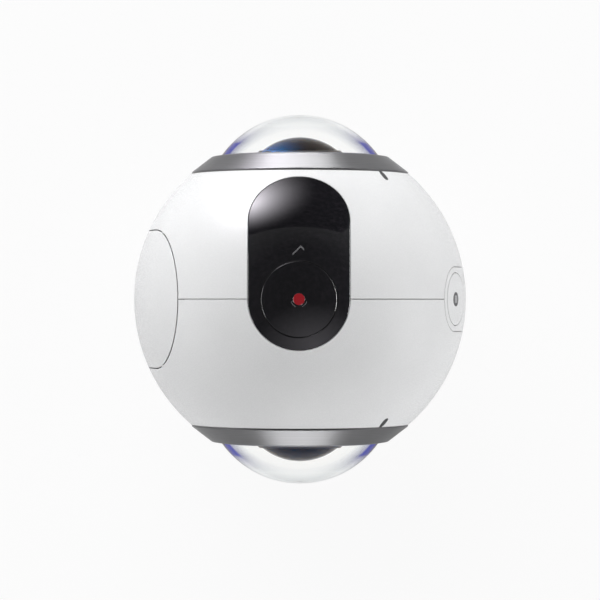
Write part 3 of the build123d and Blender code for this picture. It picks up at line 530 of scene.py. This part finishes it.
def wrapOnBall(bm, lift):
    for vert in bm.verts:
        depth = lift if vert.co.z > 0 else -markDepth
        vert.co.z = 0
        flat = math.hypot(vert.co.x, vert.co.y)
        vert.co.z = math.sqrt((ballRadius + depth) ** 2 - flat ** 2)


def addBar(bm, length, width, steps=8):
    # flat strip along X, divided so that it can follow the ball
    verts = bmesh.ops.create_grid(bm, x_segments=steps, y_segments=1, size=0.5)["verts"]
    bmesh.ops.scale(bm, vec=(length, width, 1), verts=verts)
    return verts


def addArc(bm, radius, width, span, steps=24):
    # an edge as long as the stroke is wide, turned through the span
    start, end = span
    turn = Matrix.Rotation(math.radians(start), 3, "Z")
    ends = [bm.verts.new(turn @ Vector((radius + side * width / 2, 0, 0))) for side in (-1, 1)]
    bmesh.ops.spin(bm, geom=ends + [bm.edges.new(ends)], cent=(0, 0, 0), axis=(0, 0, 1),
                   angle=math.radians(end - start), steps=steps)


def moveMark(bm, place, verts=None):
    bmesh.ops.translate(bm, vec=(*place, 0), verts=verts or bm.verts)


def thicken(bm):
    bmesh.ops.translate(bm, vec=(0, 0, 1), verts=extrude(bm, bm.faces[:]))


def toKey(bm, side, degrees):
    # carries a mark from the ball's top down to the key on that side of the panel's middle
    rotate(bm, 90 - side * degrees, "Y")


tickMark = {"place": (-0.1, 8.45), "turn": 180, "length": 2.0, "corner": -0.4, "slope": 0.97, "drop": 0.62,
            "width": 0.36, "steps": 20, "lift": 0.012}
dotRimHighlight = {"radius": 1.38, "width": 0.13, "spans": [(196, 248), (292, 344)], "steps": 10, "lift": 0.012}
keyMark = {"menuTurn": 22.7, "powerTurn": 21.0, "disc": 1.27, "discRings": 8, "discSteps": 48, "lift": 0.012,
           "bars": 3, "barLength": 1.3, "barWidth": 0.2, "pitch": 0.42, "ringRadius": 0.72, "ringWidth": 0.2,
           "ringSpan": (125, 415), "stemLength": 0.75, "stemMiddle": 0.625}
inkGrey = printedInk("inkGrey", (0.11, 0.11, 0.115))
inkDark = printedInk("inkDark", (0.10, 0.10, 0.105))
inkLight = printedInk("inkLight", (0.75, 0.75, 0.76))


def makeTick():
    t = tickMark
    bm = bmesh.new()
    for vert in addBar(bm, t["length"], t["width"], t["steps"]):
        vert.co.y += abs(vert.co.x - t["corner"]) * t["slope"] - t["drop"]
    rotate(bm, t["turn"], "Z")
    moveMark(bm, t["place"])
    thicken(bm)
    wrapOnBall(bm, t["lift"])
    finishPiece("displayTick", bm, inkGrey)


# two grey arcs beside the red dot, laid on as ink: a painted highlight of the dot's rim, only where it catches light
def makeDotRimHighlight():
    d = dotRimHighlight
    bm = bmesh.new()
    for span in d["spans"]:
        addArc(bm, d["radius"], d["width"], span, d["steps"])
    thicken(bm)
    wrapOnBall(bm, d["lift"])
    finishPiece("dotRimHighlight", bm, inkGrey, "record_cap")


def makeMenuMark():
    k = keyMark
    top = ballRadius + k["lift"]
    low = ballRadius - markDepth
    pole = math.pi / 2
    rim = pole - math.asin(k["disc"] / top)
    outline = arcPoints(top, rim, pole, k["discRings"]) + arcPoints(low, pole, rim, k["discRings"])
    bm = spinProfile(outline, k["discSteps"])
    rotate(bm, 90, "X")
    toKey(bm, 1, k["menuTurn"])
    finishPiece("menuDisc", bm, inkDark, "menu_cap")
    bm = bmesh.new()
    for bar in range(k["bars"]):
        verts = addBar(bm, k["barLength"], k["barWidth"])
        moveMark(bm, (0, (bar - (k["bars"] - 1) / 2) * k["pitch"]), verts)
    rotate(bm, 90, "Z")
    thicken(bm)
    wrapOnBall(bm, 2 * k["lift"])
    toKey(bm, 1, k["menuTurn"])
    finishPiece("menuBars", bm, inkLight, "menu_cap")


def makePowerMark():
    k = keyMark
    bm = bmesh.new()
    addArc(bm, k["ringRadius"], k["ringWidth"], k["ringSpan"])
    stem = addBar(bm, k["stemLength"], k["ringWidth"])
    rotate(bm, 90, "Z", stem)
    moveMark(bm, (0, k["stemMiddle"]), stem)
    rotate(bm, 90, "Z")
    thicken(bm)
    wrapOnBall(bm, k["lift"])
    toKey(bm, -1, k["powerTurn"])
    finishPiece("powerMark", bm, inkDark, "power_cap")


makeTick()
makeDotRimHighlight()
makeMenuMark()
makePowerMark()
print("marks done")


# tripod socket with a real thread

socket = {"bore": 3.12, "crest": 2.6, "outer": 4.6, "flange": 6.2, "flangeHeight": 0.8, "height": 6.0,
          "floor": 5.2, "base": -25.949, "lead": 0.25, "corner": 0.15, "steps": 96, "pitch": 1.27, "turns": 3.6,
          "stepsPerTurn": 36, "start": 0.35, "rootShare": 0.42, "rootDepth": 0.05, "crestHalf": 0.06}


def makeSocket():
    s = socket
    low = s["base"]
    bm = spinProfile([
        (s["bore"] + s["lead"], low), (s["flange"] - s["corner"], low), (s["flange"], low + s["corner"]),
        (s["flange"], low + s["flangeHeight"]), (s["outer"], low + s["flangeHeight"]),
        (s["outer"], low + s["height"]), (0, low + s["height"]), (0, low + s["floor"]),
        (s["bore"], low + s["floor"]), (s["bore"], low + s["lead"]),
    ], s["steps"])
    rotate(bm, 90, "X")
    finishPiece("tripodSocket", bm, steel, instead=["tripod_insert"])
    bm = bmesh.new()
    half = s["pitch"] * s["rootShare"]
    start = low + s["start"] + half
    root = s["bore"] + s["rootDepth"]
    corners = [(root, start - half), (root, start + half), (s["crest"], start + s["crestHalf"]),
               (s["crest"], start - s["crestHalf"])]
    face = bm.faces.new([bm.verts.new((r, 0, z)) for r, z in corners])
    bmesh.ops.spin(bm, geom=[face], cent=(0, 0, 0), axis=(0, 0, 1), angle=math.tau * s["turns"],
                   dvec=(0, 0, s["pitch"] / s["stepsPerTurn"]), steps=int(s["turns"] * s["stepsPerTurn"]))
    finishPiece("tripodThread", bm, steel)


makeSocket()
print("tripod socket done")


# signs printed on the battery's end, seen behind the open door

batterySigns = {"face": -19.70, "lift": 0.02, "middle": -1.2, "plusPlace": (0, 8.6), "minusPlace": (0, -8.6),
                "signLength": 2.2, "signWidth": 0.45, "arrowPlace": (0, 0), "arrowSize": 1.5}


def makeBatterySigns():
    s = batterySigns
    bm = bmesh.new()
    for place, turns in ((s["plusPlace"], (0, 90)), (s["minusPlace"], (0,))):
        for turn in turns:
            verts = addBar(bm, s["signLength"], s["signWidth"], 1)
            rotate(bm, turn, "Z", verts)
            moveMark(bm, place, verts)
    arrow = bmesh.ops.create_circle(bm, cap_ends=True, segments=3, radius=s["arrowSize"])["verts"]
    moveMark(bm, s["arrowPlace"], arrow)
    thicken(bm)
    bmesh.ops.scale(bm, vec=(1, 1, s["lift"]), verts=bm.verts)
    rotate(bm, 90, "X")
    rotate(bm, -90, "Z")
    bmesh.ops.translate(bm, vec=(s["face"], 0, s["middle"]), verts=bm.verts)
    finishPiece("batterySigns", bm, inkLight)


makeBatterySigns()
print("battery signs done")


# floor, light and camera; places and sizes in metres

floorLook = {
    "radius": 1.6,
    "sides": 96,
    "gap": 0.00004,  # just clear of the foot
    "colour": (0.82, 0.82, 0.825),
    "darkShare": 0.99,
    "grainScale": 40,
    "grainDetail": 3,
    "rough": 0.9,
    "glow": 0.92,  # share of plain white that the camera sees in the floor
    "mirrored": 0.15,  # the share of that glow that metal shows
    "fade": (0.12, 0.35),  # from here to here the floor turns plain white
}
lamps = {
    "keyPanel": {"power": 3.4, "place": (-0.17, 0.53, 0.37), "width": 0.6},
    "topPanel": {"power": 0.1, "place": (-0.10, 0.10, 0.80), "width": 0.35},
    "sidePanel": {"power": 1.34, "place": (0.60, -0.12, 0.12), "width": 0.35},
    "leftPanel": {"power": 0.54, "place": (-0.62, -0.18, 0.10), "width": 0.35},
    "lowPanel": {"power": 0.8, "place": (0.05, -0.60, 0.14), "width": 0.35},
}
ringLight = {"power": 3.4, "place": (0.0, 0.55, 0.07), "width": 0.40, "height": 0.10, "otherShare": 0.7}
rimLight = {"power": 9.0, "place": (0.55, 0.06, 0.05), "width": 0.5, "height": 0.12, "otherShare": 0.6}
softboxes = [  # bright spots are measured on the panel, from its middle
    {"place": (-0.16, 0.60, 0.27), "tilt": 90, "width": 1.1, "height": 0.54, "brightSpot": (-0.17, -0.10),
     "squash": 1.2, "reach": 0.46, "fall": 2.7, "strength": 29.0, "plain": 0.06, "clear": 0.0},
    {"place": (0.12, -0.36, 0.62), "tilt": 35, "width": 1.4, "height": 1.0, "brightSpot": (0.0, 0.0),
     "squash": 1.2, "reach": 0.5, "fall": 1.3, "strength": 1.2, "plain": 0.0, "clear": 1.0},
]
softboxColour = (0.97, 0.93, 1.0, 1)
plainWhite = (1, 1, 1, 1)
sky = {"horizon": 1.0, "zenith": 0.12, "zenithFrom": 0.8}


def floorPaper():
    # plain paper to the lamps, a white glow to the camera
    look = floorLook
    mat, tree, shader = startMaterial("floorPaper")
    vector = objectCoords(tree)
    paper = addNoise(tree, vector, (-700, 200), look["grainScale"], look["grainDetail"])
    dark = [c * look["darkShare"] for c in look["colour"]]
    tree.links.new(twoTone(tree, paper, (-450, 250), dark, look["colour"]), shader.inputs["Base Color"])
    shader.inputs["Roughness"].default_value = look["rough"]
    rays, straight = straightRays(tree, (-200, 500))
    mirrored = addMath(tree, "MULTIPLY", (0, 400), rays.outputs["Is Glossy Ray"], look["mirrored"])
    seen = addMath(tree, "MAXIMUM", (200, 550), straight, mirrored)
    reach = addNode(tree, "ShaderNodeVectorMath", (-700, 700), operation="LENGTH")
    tree.links.new(vector, reach.inputs[0])
    level = rangeOf(tree, reach.outputs["Value"], (-450, 700), look["glow"], 1.0, *look["fade"])
    share = addMath(tree, "MULTIPLY", (380, 500), seen, level)
    glow = addNode(tree, "ShaderNodeEmission", (300, 300), Strength=1.0, Color=plainWhite)
    mixed = mixShaders(tree, (560, 200), share, shader.outputs["BSDF"], glow.outputs["Emission"])
    tree.links.new(mixed, tree.nodes["Material Output"].inputs["Surface"])
    return mat


def makeFloor():
    mesh = bpy.data.meshes.new("floor")
    bm = bmesh.new()
    bmesh.ops.create_circle(bm, cap_ends=True, segments=floorLook["sides"], radius=floorLook["radius"])
    bmesh.ops.translate(bm, vec=(0, 0, -floorLook["gap"]), verts=bm.verts)
    bm.to_mesh(mesh)
    bm.free()
    mesh.materials.append(floorPaper())
    floor = addObject("floor", mesh)


def makeLamp(name, power, place, width, height=None, glossy=False):
    lamp = bpy.data.lights.new(name, "AREA")
    lamp.energy = power
    lamp.shape = "RECTANGLE"
    lamp.size = width
    lamp.size_y = height or width
    obj = addObject(name, lamp)
    obj.location = place
    aim = Vector((0, 0, centreHeight * mm)) - Vector(place)
    obj.rotation_euler = aim.to_track_quat("-Z", "Y").to_euler()
    obj.visible_glossy = glossy
    obj.visible_transmission = glossy
    return obj


def softboxGlow(box):
    # bright at one spot and fading from there
    mat, tree, _ = startMaterial("softboxGlow")
    vector = objectCoords(tree, scale=(1, box["squash"], 1))
    spot = addNode(tree, "ShaderNodeVectorMath", (-700, 0), operation="DISTANCE")
    spot.inputs[1].default_value = (box["brightSpot"][0], box["brightSpot"][1] * box["squash"], 0)
    tree.links.new(vector, spot.inputs[0])
    share = rangeOf(tree, spot.outputs["Value"], (-500, 0), 1.0, 0.0, 0.0, box["reach"])
    fall = addMath(tree, "POWER", (-320, 0), share, box["fall"])
    power = addMath(tree, "MULTIPLY_ADD", (-140, 0), fall, box["strength"], box["plain"])
    glow = addNode(tree, "ShaderNodeEmission", (100, 200), Color=softboxColour)
    tree.links.new(power, glow.inputs["Strength"])
    through = (box["clear"], box["clear"], box["clear"], 1)
    clear = addNode(tree, "ShaderNodeBsdfTransparent", (100, 350), Color=through)
    both = addNode(tree, "ShaderNodeAddShader", (450, 300))
    tree.links.new(glow.outputs["Emission"], both.inputs[0])
    tree.links.new(clear.outputs["BSDF"], both.inputs[1])
    tree.links.new(both.outputs["Shader"], tree.nodes["Material Output"].inputs["Surface"])
    return mat


def makeSoftbox(box):
    # a panel that only shows in glossy faces
    bm = bmesh.new()
    bmesh.ops.create_grid(bm, x_segments=1, y_segments=1, size=0.5)
    bmesh.ops.scale(bm, vec=(box["width"], box["height"], 1), verts=bm.verts)
    mesh = bpy.data.meshes.new("softbox")
    bm.to_mesh(mesh)
    bm.free()
    mesh.materials.append(softboxGlow(box))
    panel = addObject("softbox", mesh)
    panel.location = box["place"]
    panel.rotation_euler = (math.radians(box["tilt"]), 0, 0)
    panel.visible_camera = False
    panel.visible_diffuse = False
    panel.visible_transmission = False
    panel.visible_shadow = False
    return panel


def litOnly(title, names):
    group = bpy.data.collections.new(title)
    for name in names:
        group.objects.link(nodes[name])
    return group


def makeLampPair(name, pair, receivers):
    # two low lamps on opposite sides, the second weaker; only the receivers catch their light
    x, y, z = pair["place"]
    for end, share in ((1, 1.0), (-1, pair["otherShare"])):
        lamp = makeLamp(f"{name}{end + 1}", pair["power"] * share, (x * end, y * end, z), pair["width"],
                        pair["height"], glossy=True)
        lamp.light_linking.receiver_collection = receivers


def makeWorld():
    # the surroundings light the scene from low down; seen straight on they are plain white
    world = bpy.data.worlds.new("studioAir")
    bpy.context.scene.world = world
    world.use_nodes = True
    tree = world.node_tree
    back = tree.nodes["Background"]
    back.inputs["Color"].default_value = plainWhite
    coords = addNode(tree, "ShaderNodeTexCoord", (-900, 0))
    split = addNode(tree, "ShaderNodeSeparateXYZ", (-700, 0))
    tree.links.new(coords.outputs["Generated"], split.inputs["Vector"])
    level = rangeOf(tree, split.outputs["Z"], (-500, 0), sky["horizon"], sky["zenith"], 0.0, sky["zenithFrom"])
    tree.links.new(level, back.inputs["Strength"])
    white = addNode(tree, "ShaderNodeBackground", (0, -200), Strength=1.0, Color=plainWhite)
    _, straight = straightRays(tree, (-300, 300))
    mixed = mixShaders(tree, (250, 0), straight, back.outputs["Background"], white.outputs["Background"])
    tree.links.new(mixed, tree.nodes["World Output"].inputs["Surface"])


cameraView = {"distance": 0.517, "tilt": 0.35, "lens": 171.0, "sensor": 36.0, "shiftY": -0.0013, "clipStart": 0.01}


def makeCamera():
    data = bpy.data.cameras.new("topCamera")
    data.lens = cameraView["lens"]
    data.sensor_width = cameraView["sensor"]
    data.shift_y = cameraView["shiftY"]
    data.clip_start = cameraView["clipStart"]
    camera = addObject("topCamera", data)
    tilt = math.radians(cameraView["tilt"])
    away = cameraView["distance"]
    camera.location = (away * math.sin(tilt), 0, centreHeight * mm + away * math.cos(tilt))
    camera.rotation_euler = (0, tilt, 0)
    bpy.context.scene.camera = camera


makeFloor()
for name, lamp in lamps.items():
    makeLamp(name, lamp["power"], lamp["place"], lamp["width"])
blackParts = litOnly("blacks", ("top_window", "record_button"))
panels = [makeSoftbox(softbox) for softbox in softboxes]
panels[1].light_linking.receiver_collection = blackParts
makeLampPair("ringLamp", ringLight, litOnly("rings", ("rear_lens_ring", "front_lens_ring")))
makeLampPair("rimLamp", rimLight, blackParts)
makeWorld()
makeCamera()
bpy.context.scene.view_settings.view_transform = "Standard"
print("studio ready")
